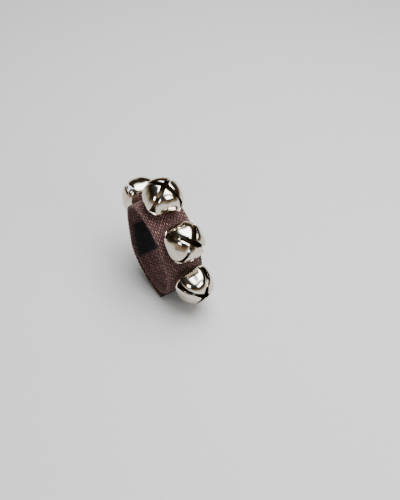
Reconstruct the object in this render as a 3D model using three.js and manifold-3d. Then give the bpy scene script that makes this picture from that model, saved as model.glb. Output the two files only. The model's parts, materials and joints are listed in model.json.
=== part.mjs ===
// Wrist sleigh bells: four jingle bells riveted to a webbing strap that closes round the wrist.
// Millimetres, +Z up. The origin is the centre of the wrist opening, and +X runs along the wrist
// towards the hand. Angles round the loop are those of the strap's outward normal, from the near side
// (0) over the top end (90 degrees) to the far side (180) and the bottom end (270).
import * as THREE from 'three';
import { mergeVertices } from 'three/addons/utils/BufferGeometryUtils.js';
import Module from 'manifold-3d';

const wasm = await Module();
wasm.setup();

const deg = THREE.MathUtils.degToRad;
const CLEARANCE = 0.25; // left between pieces that touch
const WELD = 1e-4; // corners closer than this are one

// The loop: an oval of four tangent arcs, all measured on the strap's outer face.
const LOOP_TILT = deg(54.8); // the oval's long axis leans up from level, as it does on a raised wrist
const END_SPACING = 35.2; // between the centres of the two end arcs
const END_RADIUS = 11;
const SIDE_RADIUS = 36;
const JOIN_ANGLE = Math.asin(END_SPACING / 2 / (SIDE_RADIUS - END_RADIUS)); // where side meets end
const SIDE_OFFSET = (SIDE_RADIUS - END_RADIUS) * Math.cos(JOIN_ANGLE); // side arc's centre from the axis

// Webbing and the hook-and-loop closure.
const WEBBING_WIDTH = 25;
const WEBBING_THICKNESS = 1.8;
const SELVEDGE_CHAMFER = 0.35;
const TAPE_WIDTH = 20;
const TAPE_THICKNESS = 1;
const TAPE_CHAMFER = 0.15;
const THREAD = 0.5;
const SEAM_INSET = 1.6; // seam line from the tape's edge
const TAPE_MARGIN = 2; // tape's end from the webbing's end
const HINGE_ANGLE = deg(150); // where the tab starts to lift
const UNDERLAP_ANGLE = deg(188); // the webbing's inner end
const TAB_END_ANGLE = deg(247);
const TAB_BEND_RADIUS = 22; // the tab's curve down onto the tape
const HINGE_GAP = 0.3;
const HOOK_TAPE_START = 2.5; // along the tab
const LOOP_TAPE_START = 5; // along the webbing
const TAB_RISE = WEBBING_THICKNESS + 2 * TAPE_THICKNESS + 3 * CLEARANCE; // tab over the layer beneath
const BAND_STEP = 2; // between sections of a swept band

// Bells.
const LAST_BELL_OFFSET = 4.5; // from the start of the near side
const BELL_PLACES = [ // along the strap from the last bell, and across from the strap's middle
  { along: 70.9, across: 2 },
  { along: 48.4, across: 1.9 },
  { along: 24.2, across: 0.6 },
  { along: 0, across: 1 },
];
const BELL_COUNT = BELL_PLACES.length;
const BELL_SPIN = [deg(51), deg(29), deg(49), deg(61)]; // how far each bell has turned on its rivet
const BELL_RADIUS = 12.6;
const BELL_SQUARENESS = 1.2; // how far the middle of a petal lies inside the round
const CROWN_HEIGHT = 11.9; // pole above the widest ring
const BOWL_DEPTH = 6.85; // seat below the widest ring
const SEAT_RADIUS = 5;
const SHEET = 0.8;
const PETALS = 4;
const TIP_ANGLE = deg(12); // petal tip, from the pole
const SHOULDER_ANGLE = deg(26); // where the petal tip's rounding ends
const WAIST_ANGLE = deg(58); // where the slot starts to widen
const RIM_ANGLE = deg(98); // the bowl's edge at the slot's foot
const SLOT_HALF_WIDTH = 1;
const SLOT_FOOT_HALF_WIDTH = 2.9;
const SLOT_FLARE = 1.5; // power by which the slot widens towards its foot
const TIP_ROUNDING = 3; // power by which a petal's tip falls away towards its shoulders
const PETAL_COLUMNS = 5;
const SLOT_COLUMNS = 2;
const PETAL_ROWS = 8;
const BOWL_ROWS = 4;

// Rivet, back washer and pellet. Heights are above the strap's outer face.
const SHANK_RADIUS = 1.5;
const HOLE_RADIUS = SHANK_RADIUS + CLEARANCE;
const HEAD_RADIUS = 2.5;
const HEAD_HEIGHT = 0.9;
const TAIL_RADIUS = 2.4;
const TAIL_HEIGHT = 0.7;
const WASHER_RADIUS = 4;
const WASHER_THICKNESS = 0.8;
const WASHER_BEVEL = 0.5;
const SEAT_LEVEL = -CLEARANCE; // the webbing under the bell is pressed to this level
const BACK_LEVEL = -1.35; // and from behind to this one
const WASHER_TOP = BACK_LEVEL - CLEARANCE;
const TAIL_TOP = WASHER_TOP - WASHER_THICKNESS - CLEARANCE;
const HEAD_FOOT = SHEET + CLEARANCE;
const PELLET_RADIUS = 3.5;
const PELLET_CLEARANCE = 0.35;
const ROUND_SEGMENTS = 20;
const DOME_STEPS = 3;
const BALL_DETAIL = 3;

const MATERIALS = {
  webbing: { color: 0x6b4a47, roughness: 0.9, metalness: 0 },
  tape: { color: 0x151313, roughness: 0.95, metalness: 0 },
  thread: { color: 0x4a3230, roughness: 0.8, metalness: 0 },
  nickel: { color: 0xd8d2c4, roughness: 0.12, metalness: 1 },
  steel: { color: 0xb4b4b2, roughness: 0.3, metalness: 1 },
};

function mesh(name, geometry, material) {
  geometry.computeVertexNormals();
  const piece = new THREE.Mesh(geometry, new THREE.MeshStandardMaterial(MATERIALS[material]));
  piece.name = name;
  return piece;
}

function indexed(positions, triangles) {
  const geometry = new THREE.BufferGeometry();
  geometry.setAttribute('position', new THREE.Float32BufferAttribute(positions, 3));
  geometry.setIndex(triangles);
  return geometry;
}

// ---- Solids for cutting ----

function solid(geometry, matrix = new THREE.Matrix4()) {
  const bare = geometry.clone().applyMatrix4(matrix);
  bare.deleteAttribute('normal');
  bare.deleteAttribute('uv');
  const merged = mergeVertices(bare, WELD);
  return new wasm.Manifold(new wasm.Mesh({
    numProp: 3,
    vertProperties: new Float32Array(merged.attributes.position.array),
    triVerts: new Uint32Array(merged.index.array),
  }));
}

function geometryOf(body) {
  const { vertProperties, triVerts } = body.getMesh();
  return indexed(Array.from(vertProperties), Array.from(triVerts));
}

// ---- Paths in the loop's own plane: y along the oval's long axis, z towards the near side ----

const pointOn = (y, z, radius, angle) => ({
  y: y + radius * Math.sin(angle),
  z: z + radius * Math.cos(angle),
  angle,
});

const arc = (y, z, radius, start, end) => ({
  length: radius * (end - start),
  at: (s) => pointOn(y, z, radius, start + s / radius),
});

const line = (from, length) => ({
  length,
  at: (s) => ({
    y: from.y + s * Math.cos(from.angle),
    z: from.z - s * Math.sin(from.angle),
    angle: from.angle,
  }),
});

const lengthOf = (path) => path.reduce((sum, piece) => sum + piece.length, 0);

function along(path, distance) {
  let rest = distance;
  for (const piece of path.slice(0, -1)) {
    if (rest <= piece.length) return piece.at(rest);
    rest -= piece.length;
  }
  return path.at(-1).at(rest);
}

const nearArc = arc(0, -SIDE_OFFSET, SIDE_RADIUS, -JOIN_ANGLE, JOIN_ANGLE);
const topArc = arc(END_SPACING / 2, 0, END_RADIUS, JOIN_ANGLE, Math.PI - JOIN_ANGLE);
const farArcTo = (start, end, rise = 0) => arc(0, SIDE_OFFSET, SIDE_RADIUS + rise, start, end);
const bottomArcTo = (end, rise = 0) => (
  arc(-END_SPACING / 2, 0, END_RADIUS + rise, Math.PI + JOIN_ANGLE, end));

const webbingPath = [
  farArcTo(UNDERLAP_ANGLE, Math.PI + JOIN_ANGLE),
  bottomArcTo(2 * Math.PI - JOIN_ANGLE),
  nearArc,
  topArc,
  farArcTo(Math.PI - JOIN_ANGLE, HINGE_ANGLE),
];
const nearSideStart = webbingPath[0].length + webbingPath[1].length;

// The tab leaves the loop straight, bends down over the layers beneath and then runs parallel to them.
function makeTabPath() {
  const hinge = pointOn(0, SIDE_OFFSET, SIDE_RADIUS, HINGE_ANGLE);
  const lowLine = SIDE_RADIUS - TAB_BEND_RADIUS;
  const highLine = lowLine + TAB_RISE;
  const straight = Math.sqrt(highLine ** 2 - lowLine ** 2);
  const bend = Math.acos(lowLine / highLine);
  const lift = line(hinge, straight);
  const top = lift.at(straight);
  const bendY = top.y - TAB_BEND_RADIUS * Math.sin(HINGE_ANGLE);
  const bendZ = top.z - TAB_BEND_RADIUS * Math.cos(HINGE_ANGLE);
  return [
    lift,
    arc(bendY, bendZ, TAB_BEND_RADIUS, HINGE_ANGLE, HINGE_ANGLE + bend),
    farArcTo(HINGE_ANGLE + bend, Math.PI + JOIN_ANGLE, TAB_RISE),
    bottomArcTo(TAB_END_ANGLE, TAB_RISE),
  ];
}
const tabPath = makeTabPath();

// ---- Strap ----

// A flat band that follows a path, between two levels measured out from the path.
function band(path, from, to, width, low, high, chamfer) {
  const side = width / 2;
  const section = [
    [-side, low + chamfer], [-side, high - chamfer], [chamfer - side, high], [side - chamfer, high],
    [side, high - chamfer], [side, low + chamfer], [side - chamfer, low], [chamfer - side, low],
  ];
  const steps = Math.ceil((to - from) / BAND_STEP);
  const positions = [];
  const triangles = [];
  for (let step = 0; step <= steps; step += 1) {
    const { y, z, angle } = along(path, from + ((to - from) * step) / steps);
    for (const [x, level] of section) {
      positions.push(x, y + level * Math.sin(angle), z + level * Math.cos(angle));
    }
  }
  const count = section.length;
  for (let step = 0; step < steps; step += 1) {
    for (let corner = 0; corner < count; corner += 1) {
      const a = step * count + corner;
      const b = step * count + ((corner + 1) % count);
      triangles.push(a, b, b + count, a, b + count, a + count);
    }
  }
  const last = steps * count;
  for (let corner = 1; corner < count - 1; corner += 1) {
    triangles.push(0, corner + 1, corner);
    triangles.push(last, last + corner, last + corner + 1);
  }
  return indexed(positions, triangles);
}

// A seam: one run of thread round a tape's edge, lying on the webbing's free face.
function seam(path, from, to, low) {
  const width = TAPE_WIDTH - 2 * SEAM_INSET;
  const start = from + SEAM_INSET;
  const end = to - SEAM_INSET;
  const past = 1; // the inside is cut out right through
  const outer = band(path, start, end, width, low, low + THREAD, TAPE_CHAMFER);
  const inner = band(
    path, start + THREAD, end - THREAD, width - 2 * THREAD, low - past, low + THREAD + past, TAPE_CHAMFER);
  return geometryOf(solid(outer).subtract(solid(inner)));
}

const bellSeat = (number) => (
  along(webbingPath, nearSideStart + LAST_BELL_OFFSET + BELL_PLACES[number - 1].along));

// The frame of a bell: its origin on the strap's outer face and +Z along the bell's axis.
function bellMatrix(number) {
  const { y, z, angle } = bellSeat(number);
  return new THREE.Matrix4().makeRotationX(-angle).setPosition(BELL_PLACES[number - 1].across, y, z);
}

function plug(radius, low, high) {
  return new THREE.CylinderGeometry(radius, radius, high - low, ROUND_SEGMENTS)
    .rotateX(Math.PI / 2)
    .translate(0, 0, (low + high) / 2);
}

// The webbing, with a rivet hole and two pressed seats for each bell.
function webbing() {
  const reach = 4; // past the cloth on both sides
  let body = solid(band(
    webbingPath, 0, lengthOf(webbingPath), WEBBING_WIDTH, -WEBBING_THICKNESS, 0, SELVEDGE_CHAMFER));
  for (let number = 1; number <= BELL_COUNT; number += 1) {
    const matrix = bellMatrix(number);
    const cuts = [
      plug(HOLE_RADIUS, -reach, reach),
      plug(SEAT_RADIUS + CLEARANCE, SEAT_LEVEL, reach),
      plug(WASHER_RADIUS + CLEARANCE, -reach, BACK_LEVEL),
    ];
    for (const cut of cuts) body = body.subtract(solid(cut, matrix));
  }
  return geometryOf(body);
}

function strapPieces() {
  const tabLength = lengthOf(tabPath);
  const hookEnd = tabLength - TAPE_MARGIN;
  const hookTop = -WEBBING_THICKNESS - CLEARANCE;
  const loopEnd = webbingPath[0].length + END_RADIUS * (TAB_END_ANGLE - Math.PI - JOIN_ANGLE);
  return [
    mesh('strap_webbing', webbing(), 'webbing'),
    mesh('strap_tab', band(
      tabPath, HINGE_GAP, tabLength, WEBBING_WIDTH, -WEBBING_THICKNESS, 0, SELVEDGE_CHAMFER), 'webbing'),
    mesh('hook_tape', band(
      tabPath, HOOK_TAPE_START, hookEnd, TAPE_WIDTH, hookTop - TAPE_THICKNESS, hookTop,
      TAPE_CHAMFER), 'tape'),
    mesh('loop_tape', band(
      webbingPath, LOOP_TAPE_START, loopEnd, TAPE_WIDTH, CLEARANCE, CLEARANCE + TAPE_THICKNESS,
      TAPE_CHAMFER), 'tape'),
    mesh('hook_stitching', seam(tabPath, HOOK_TAPE_START, hookEnd, CLEARANCE / 2), 'thread'),
    mesh('loop_stitching', seam(
      webbingPath, LOOP_TAPE_START, loopEnd, -WEBBING_THICKNESS - CLEARANCE / 2 - THREAD), 'thread'),
  ];
}

// ---- Bell shell ----

const SEAT_ANGLE = Math.PI - Math.asin(SEAT_RADIUS / BELL_RADIUS);
const BOWL_SCALE = BOWL_DEPTH / -Math.cos(SEAT_ANGLE);

// A point of the shell's outer face, from its angle off the pole and its angle round the axis.
function shellPoint(polar, around) {
  const squared = BELL_SQUARENESS * Math.sin(polar) ** 2 * (0.5 - 0.5 * Math.cos(PETALS * around));
  const ring = (BELL_RADIUS - squared) * Math.sin(polar);
  const height = polar < Math.PI / 2 ? CROWN_HEIGHT : BOWL_SCALE;
  const z = Math.max(height * Math.cos(polar), -BOWL_DEPTH);
  return new THREE.Vector3(ring * Math.cos(around), ring * Math.sin(around), z);
}

function shellNormal(fromPole, around) {
  const step = 1e-3;
  const polar = Math.min(fromPole, Math.PI - 10 * step); // the normal has no value at the far pole
  const down = shellPoint(polar + step, around).sub(shellPoint(polar - step, around));
  const across = shellPoint(polar, around + step).sub(shellPoint(polar, around - step));
  return down.cross(across).normalize();
}

// Half the slot's width at an angle off the pole, as an angle round the axis.
function slotHalfAngle(polar) {
  const widening = THREE.MathUtils.clamp((polar - WAIST_ANGLE) / (RIM_ANGLE - WAIST_ANGLE), 0, 1);
  const half = THREE.MathUtils.lerp(SLOT_HALF_WIDTH, SLOT_FOOT_HALF_WIDTH, widening ** SLOT_FLARE);
  return Math.asin(half / (BELL_RADIUS * Math.sin(polar)));
}

// The shell as a grid of cells: petal rows where only the petals have metal, then the whole bowl.
function shellGrid() {
  const sector = (2 * Math.PI) / PETALS;
  const columns = PETALS * (PETAL_COLUMNS + SLOT_COLUMNS);
  const rowAngles = [];
  for (let row = 1; row <= BOWL_ROWS; row += 1) {
    rowAngles.push(THREE.MathUtils.lerp(RIM_ANGLE, SEAT_ANGLE, row / BOWL_ROWS));
  }
  rowAngles.push(Math.PI - Math.asin(HOLE_RADIUS / BELL_RADIUS));
  const rows = PETAL_ROWS + rowAngles.length;
  const inPetal = (column) => column % (PETAL_COLUMNS + SLOT_COLUMNS) < PETAL_COLUMNS;
  const around = (polar, column) => {
    const petal = Math.floor(column / (PETAL_COLUMNS + SLOT_COLUMNS));
    const place = column % (PETAL_COLUMNS + SLOT_COLUMNS);
    const slot = slotHalfAngle(polar);
    const petalPart = slot + (sector - 2 * slot) * Math.min(place / PETAL_COLUMNS, 1);
    const slotPart = 2 * slot * Math.max((place - PETAL_COLUMNS) / SLOT_COLUMNS, 0);
    return petal * sector + petalPart + slotPart;
  };
  const polar = (row, column) => {
    if (row > PETAL_ROWS) return rowAngles[row - PETAL_ROWS - 1];
    const place = column % (PETAL_COLUMNS + SLOT_COLUMNS);
    const across = Math.min(Math.abs((2 * place) / PETAL_COLUMNS - 1), 1);
    const top = THREE.MathUtils.lerp(TIP_ANGLE, SHOULDER_ANGLE, across ** TIP_ROUNDING);
    return THREE.MathUtils.lerp(top, RIM_ANGLE, row / PETAL_ROWS);
  };
  return { rows, columns, inPetal, polar, around };
}

function bellShell() {
  const { rows, columns, inPetal, polar, around } = shellGrid();
  const positions = [];
  for (const depth of [0, SHEET]) {
    for (let row = 0; row <= rows; row += 1) {
      for (let column = 0; column < columns; column += 1) {
        const fromPole = polar(row, column);
        const turn = around(Math.min(fromPole, RIM_ANGLE), column);
        const normal = shellNormal(fromPole, turn);
        positions.push(...shellPoint(fromPole, turn).addScaledVector(normal, -depth));
      }
    }
  }
  const vertex = (row, column) => row * columns + ((column + columns) % columns);
  const inner = (rows + 1) * columns;
  const isMetal = (row, column) => (
    row >= PETAL_ROWS ? row < rows : row >= 0 && inPetal((column + columns) % columns));
  const triangles = [];
  const quad = (a, b, c, d) => triangles.push(a, b, c, a, c, d);
  for (let row = 0; row < rows; row += 1) {
    for (let column = 0; column < columns; column += 1) {
      if (!isMetal(row, column)) continue;
      const a = vertex(row, column);
      const b = vertex(row + 1, column);
      const c = vertex(row + 1, column + 1);
      const d = vertex(row, column + 1);
      quad(a, b, c, d);
      quad(inner + d, inner + c, inner + b, inner + a);
      if (!isMetal(row - 1, column)) quad(d, inner + d, inner + a, a);
      if (!isMetal(row + 1, column)) quad(b, inner + b, inner + c, c);
      if (!isMetal(row, column - 1)) quad(a, inner + a, inner + b, b);
      if (!isMetal(row, column + 1)) quad(c, inner + c, inner + d, d);
    }
  }
  const whole = indexed(positions, triangles);
  return mergeVertices(geometryOf(solid(whole)), WELD);
}

// ---- Rivet, washer and pellet ----

function turned(profile) {
  return new THREE.LatheGeometry(profile.map(([r, z]) => new THREE.Vector2(r, z)), ROUND_SEGMENTS)
    .rotateX(Math.PI / 2);
}

// Profile of a dome from its rim to its middle, which is rise above its foot.
function dome(radius, foot, rise) {
  const points = [];
  for (let step = 0; step < DOME_STEPS; step += 1) {
    const turn = (step / DOME_STEPS) * (Math.PI / 2);
    points.push([radius * Math.cos(turn), foot + rise * Math.sin(turn)]);
  }
  return [...points, [0, foot + rise]];
}

// A rivet whose domed head is inside the bell and whose tail is set over the washer.
function rivet() {
  return turned([
    ...dome(TAIL_RADIUS, TAIL_TOP, -TAIL_HEIGHT).reverse(),
    [SHANK_RADIUS, TAIL_TOP],
    [SHANK_RADIUS, HEAD_FOOT],
    ...dome(HEAD_RADIUS, HEAD_FOOT, HEAD_HEIGHT),
  ]);
}

function washer() {
  const foot = WASHER_TOP - WASHER_THICKNESS;
  return turned([
    [HOLE_RADIUS, foot],
    [WASHER_RADIUS - WASHER_BEVEL, foot],
    [WASHER_RADIUS, foot + WASHER_BEVEL],
    [WASHER_RADIUS, WASHER_TOP],
    [HOLE_RADIUS, WASHER_TOP],
    [HOLE_RADIUS, foot],
  ]);
}

// Where the pellet's centre rests in a bell whose axis leans: the lowest point of the cavity it can
// reach, taken as a spheroid, in a frame with +Z along the bell's axis and its origin on the strap.
function pelletCentre(lean) {
  const room = SHEET + PELLET_RADIUS + PELLET_CLEARANCE;
  const wide = BELL_RADIUS - BELL_SQUARENESS - room;
  const deep = (Math.cos(lean) > 0 ? BOWL_DEPTH : CROWN_HEIGHT) - room;
  const reach = Math.hypot(wide * Math.sin(lean), deep * Math.cos(lean));
  return new THREE.Vector3(
    0,
    (-(wide ** 2) * Math.sin(lean)) / reach,
    BOWL_DEPTH - (deep ** 2 * Math.cos(lean)) / reach,
  );
}

// ---- Assembly ----

function bellPieces(number) {
  const group = new THREE.Group();
  group.applyMatrix4(bellMatrix(number));
  const shell = mesh(`bell_shell_${number}`, bellShell(), 'nickel');
  shell.rotation.z = BELL_SPIN[number - 1];
  shell.position.z = BOWL_DEPTH;
  const lean = LOOP_TILT - bellSeat(number).angle;
  const pellet = mesh(`pellet_${number}`, new THREE.IcosahedronGeometry(PELLET_RADIUS, BALL_DETAIL), 'steel');
  pellet.position.copy(pelletCentre(lean));
  group.add(
    shell,
    mesh(`rivet_${number}`, rivet(), 'nickel'),
    mesh(`washer_${number}`, washer(), 'nickel'),
    pellet,
  );
  return group;
}

const loop = new THREE.Group();
loop.rotation.x = LOOP_TILT;
loop.add(...strapPieces());
for (let number = 1; number <= BELL_COUNT; number += 1) loop.add(bellPieces(number));

const wristBells = new THREE.Group();
wristBells.name = 'wrist_sleigh_bells';
wristBells.add(loop);

export default wristBells;
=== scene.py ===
"""Looks for the wrist sleigh bells: polished nickel bells on a woven brown strap, in soft studio light."""

import json
import math
import random

import bpy
import numpy as np
from mathutils import Matrix, Vector


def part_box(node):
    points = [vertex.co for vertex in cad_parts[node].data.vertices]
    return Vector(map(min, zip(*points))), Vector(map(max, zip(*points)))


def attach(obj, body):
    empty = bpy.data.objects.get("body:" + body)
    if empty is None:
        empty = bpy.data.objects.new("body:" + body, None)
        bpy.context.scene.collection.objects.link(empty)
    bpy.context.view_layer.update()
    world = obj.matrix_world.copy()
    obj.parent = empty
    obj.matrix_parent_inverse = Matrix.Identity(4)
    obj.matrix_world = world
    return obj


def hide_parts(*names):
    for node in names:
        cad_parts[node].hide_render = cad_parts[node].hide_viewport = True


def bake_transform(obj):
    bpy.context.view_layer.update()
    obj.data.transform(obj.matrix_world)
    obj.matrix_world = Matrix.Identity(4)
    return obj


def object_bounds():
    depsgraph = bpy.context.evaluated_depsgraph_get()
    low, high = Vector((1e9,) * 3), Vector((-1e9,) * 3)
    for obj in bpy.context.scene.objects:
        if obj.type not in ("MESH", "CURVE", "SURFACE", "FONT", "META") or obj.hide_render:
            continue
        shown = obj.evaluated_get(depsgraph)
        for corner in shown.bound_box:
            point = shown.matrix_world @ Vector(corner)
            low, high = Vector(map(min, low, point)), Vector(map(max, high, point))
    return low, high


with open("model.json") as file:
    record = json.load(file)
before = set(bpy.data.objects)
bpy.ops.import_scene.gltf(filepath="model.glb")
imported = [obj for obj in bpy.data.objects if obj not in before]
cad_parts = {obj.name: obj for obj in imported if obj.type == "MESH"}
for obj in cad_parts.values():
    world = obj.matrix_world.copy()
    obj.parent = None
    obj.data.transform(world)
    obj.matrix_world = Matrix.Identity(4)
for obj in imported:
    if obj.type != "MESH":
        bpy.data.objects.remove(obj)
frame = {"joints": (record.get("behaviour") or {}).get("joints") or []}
cad_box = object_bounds()

MM = 0.001
TURN = 2 * math.pi

# The loop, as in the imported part: four tangent arcs measured on the strap's outer face (mm, radians).
LOOP_TILT = math.radians(54.8)
END_SPACING = 35.2
END_RADIUS = 11.0
SIDE_RADIUS = 36.0
JOIN_ANGLE = math.asin(END_SPACING / 2 / (SIDE_RADIUS - END_RADIUS))
SIDE_OFFSET = (SIDE_RADIUS - END_RADIUS) * math.cos(JOIN_ANGLE)
HINGE_ANGLE = math.radians(150)
UNDERLAP_ANGLE = math.radians(188)
TAB_END_ANGLE = math.radians(247)
TAB_BEND_RADIUS = 22.0

CLEARANCE = 0.25
WEBBING_WIDTH = 25.0
WEBBING_THICKNESS = 1.8
TAPE_WIDTH = 20.0
TAPE_THICKNESS = 1.0
TAPE_MARGIN = 2.0
SEAM_INSET = 1.6
HOOK_TAPE_START = 2.5
LOOP_TAPE_START = 5.0
TAB_RISE = WEBBING_THICKNESS + 2 * TAPE_THICKNESS + 3 * CLEARANCE
FLEX_REACH = 2.2  # webbing each side of the tab's hinge, built as a strip of its own

BELLS = (1, 2, 3, 4)
LAST_BELL_OFFSET = 4.5
BELL_ALONG = {1: 70.9, 2: 48.4, 3: 24.2, 4: 0.0}  # along the strap from the last bell
BELL_ACROSS = {1: 2.0, 2: 1.9, 3: 0.6, 4: 1.0}  # from the strap's middle
BELL_SPIN = {1: math.radians(51), 2: math.radians(29), 3: math.radians(49), 4: math.radians(61)}
BELL_RADIUS = 12.6
BELL_SQUARENESS = 1.2
CROWN_HEIGHT = 11.9
BOWL_DEPTH = 6.85
SEAT_RADIUS = 5.0
SHEET = 0.8
PETALS = 4
TIP_ANGLE = math.radians(12)
SHOULDER_ANGLE = math.radians(26)
WAIST_ANGLE = math.radians(58)
RIM_ANGLE = math.radians(98)
SLOT_HALF_WIDTH = 1.0
SLOT_FOOT_HALF_WIDTH = 2.9
SLOT_FLARE = 1.5  # power by which a slot widens from the waist to its foot
TIP_ROUNDING = 3  # power by which a petal's top falls from its tip to its shoulders
SEAT_ANGLE = math.pi - math.asin(SEAT_RADIUS / BELL_RADIUS)
BOWL_SCALE = BOWL_DEPTH / -math.cos(SEAT_ANGLE)
EDGE_ROLL = 0.3  # how far a petal's sheared edge turns in
EDGE_ROLL_REACH = 0.8
EDGE_ROLL_FADE = math.radians(10)
EDGE_BEVEL = 0.32

# Rivet, washer and pellet: heights above the strap's outer face.
SHANK_RADIUS = 1.5
HOLE_RADIUS = SHANK_RADIUS + CLEARANCE
HEAD_RADIUS = 2.5
HEAD_FOOT = SHEET + CLEARANCE
HEAD_HEIGHT = 0.9
HEAD_EDGE = 0.12  # straight edge below the dome
TAIL_RADIUS = 2.4
TAIL_HEIGHT = 0.7
TAIL_EDGE = 0.15
TAIL_HOLLOW = 0.25  # the dimple that the setting tool leaves
WASHER_RADIUS = 4.0
WASHER_THICKNESS = 0.8
# Rounding of a washer's lower edge: how far in from its rim, and how far up from its foot.
WASHER_ROUNDING = [(0.9, 0.0), (0.5, 0.08), (0.15, 0.28), (0.0, 0.5)]
WASHER_TOP = -1.6  # sunk into the webbing's inner face
TAIL_TOP = WASHER_TOP - WASHER_THICKNESS - CLEARANCE
PELLET_RADIUS = 3.5
FLASH_HEIGHT = 0.05  # the ring left round a pellet's middle when it was headed
FLASH_WIDTH = 0.06
KNOCKS = 9
KNOCK_DEPTH = 0.07
KNOCK_SPREAD = 0.03


# ---- Paths round the loop ----

def arc(centre, radius, start, end):
    """A path piece: centre in the loop's plane, and the angles of the outward normal at its two ends."""
    return {"centre": centre, "radius": radius, "start": start, "length": radius * (end - start)}


def line(origin, angle, length):
    """A straight path piece: where it starts, the angle of its outward normal, and its length."""
    return {"origin": origin, "start": angle, "length": length}


def piece_at(piece, s):
    """Position and normal angle at distance s along one piece, in the loop's own plane."""
    if "radius" in piece:
        angle = piece["start"] + s / piece["radius"]
        y = piece["centre"][0] + piece["radius"] * math.sin(angle)
        z = piece["centre"][1] + piece["radius"] * math.cos(angle)
        return y, z, angle
    angle = piece["start"]
    return (
        piece["origin"][0] + s * math.cos(angle),
        piece["origin"][1] - s * math.sin(angle),
        angle,
    )


def path_length(path):
    return sum(piece["length"] for piece in path)


def along(path, s):
    """Point on the path and its outward normal angle, turned into the row frame."""
    rest = s
    for piece in path[:-1]:
        if rest <= piece["length"]:
            break
        rest -= piece["length"]
    else:
        piece = path[-1]
    y, z, angle = piece_at(piece, rest)
    cos, sin = math.cos(LOOP_TILT), math.sin(LOOP_TILT)
    return y * cos - z * sin, y * sin + z * cos, angle - LOOP_TILT


def place(path, s, x, level):
    """A point at distance s along the path, x across the strap and level out from the path, in metres."""
    y, z, angle = along(path, s)
    return (x * MM, (y + level * math.sin(angle)) * MM, (z + level * math.cos(angle)) * MM)


def far_arc(start, end, rise=0.0):
    return arc((0.0, SIDE_OFFSET), SIDE_RADIUS + rise, start, end)


def bottom_arc(end, rise=0.0):
    return arc((-END_SPACING / 2, 0.0), END_RADIUS + rise, math.pi + JOIN_ANGLE, end)


def make_tab_path():
    hinge_y = SIDE_RADIUS * math.sin(HINGE_ANGLE)
    hinge_z = SIDE_OFFSET + SIDE_RADIUS * math.cos(HINGE_ANGLE)
    low_line = SIDE_RADIUS - TAB_BEND_RADIUS
    high_line = low_line + TAB_RISE
    straight = math.sqrt(high_line**2 - low_line**2)
    bend = math.acos(low_line / high_line)
    top_y = hinge_y + straight * math.cos(HINGE_ANGLE)
    top_z = hinge_z - straight * math.sin(HINGE_ANGLE)
    bend_centre = (
        top_y - TAB_BEND_RADIUS * math.sin(HINGE_ANGLE),
        top_z - TAB_BEND_RADIUS * math.cos(HINGE_ANGLE),
    )
    return [
        line((hinge_y, hinge_z), HINGE_ANGLE, straight),
        arc(bend_centre, TAB_BEND_RADIUS, HINGE_ANGLE, HINGE_ANGLE + bend),
        far_arc(HINGE_ANGLE + bend, math.pi + JOIN_ANGLE, TAB_RISE),
        bottom_arc(TAB_END_ANGLE, TAB_RISE),
    ]


webbing_path = [
    far_arc(UNDERLAP_ANGLE, math.pi + JOIN_ANGLE),
    bottom_arc(TURN - JOIN_ANGLE),
    arc((0.0, -SIDE_OFFSET), SIDE_RADIUS, -JOIN_ANGLE, JOIN_ANGLE),
    arc((END_SPACING / 2, 0.0), END_RADIUS, JOIN_ANGLE, math.pi - JOIN_ANGLE),
    far_arc(math.pi - JOIN_ANGLE, HINGE_ANGLE),
]
tab_path = make_tab_path()
whole_path = webbing_path + tab_path
hinge_distance = path_length(webbing_path)
near_side_start = webbing_path[0]["length"] + webbing_path[1]["length"]
bell_distance = {n: near_side_start + LAST_BELL_OFFSET + BELL_ALONG[n] for n in BELLS}
hook_tape_end = path_length(tab_path) - TAPE_MARGIN
loop_tape_end = webbing_path[0]["length"] + END_RADIUS * (TAB_END_ANGLE - math.pi - JOIN_ANGLE)


# ---- Mesh helpers ----

def new_object(name, vertices, faces, materials, smooth=True):
    mesh = bpy.data.meshes.new(name)
    mesh.from_pydata([tuple(v) for v in vertices], [], faces)
    mesh.validate()
    if smooth:
        mesh.shade_smooth()
    piece = bpy.data.objects.new(name, mesh)
    bpy.context.scene.collection.objects.link(piece)
    for material in materials:
        mesh.materials.append(material)
    return piece


def finish_piece(piece, body, replaced):
    """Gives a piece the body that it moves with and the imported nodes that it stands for."""
    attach(piece, body)
    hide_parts(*replaced)


def apply_modifiers(piece):
    """Keeps the mesh as its modifiers shape it."""
    graph = bpy.context.evaluated_depsgraph_get()
    shaped = bpy.data.meshes.new_from_object(piece.evaluated_get(graph))
    plain = piece.data
    piece.modifiers.clear()
    piece.data = shaped
    bpy.data.meshes.remove(plain)


def set_point_attribute(piece, name, values):
    attribute = piece.data.attributes.new(name, "FLOAT", "POINT")
    attribute.data.foreach_set("value", np.asarray(values, np.float32))


def grid_faces(rows, columns, closed):
    """Quads of a grid of points stored row by row."""
    span = columns if closed else columns - 1
    faces = []
    for row in range(rows - 1):
        for column in range(span):
            a = row * columns + column
            b = row * columns + (column + 1) % columns
            faces.append((a, b, b + columns, a + columns))
    return faces


# ---- Materials ----

def new_material(name):
    material = bpy.data.materials.new(name)
    material.use_nodes = True
    tree = material.node_tree
    return material, tree, tree.nodes["Principled BSDF"]


def add_node(tree, kind, **settings):
    node = tree.nodes.new(kind)
    for key, value in settings.items():
        if key in node.inputs:
            node.inputs[key].default_value = value
        else:
            setattr(node, key, value)
    return node


def ramp(tree, source, stops):
    """A colour ramp fed by source; stops are (place, colour)."""
    node = tree.nodes.new("ShaderNodeValToRGB")
    elements = node.color_ramp.elements
    while len(elements) < len(stops):
        elements.new(0.5)
    for element, (position, colour) in zip(elements, stops):
        element.position = position
        element.color = (*colour, 1)
    tree.links.new(source, node.inputs["Fac"])
    return node.outputs["Color"]


def object_coordinates(tree):
    return tree.nodes.new("ShaderNodeTexCoord").outputs["Object"]


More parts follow.
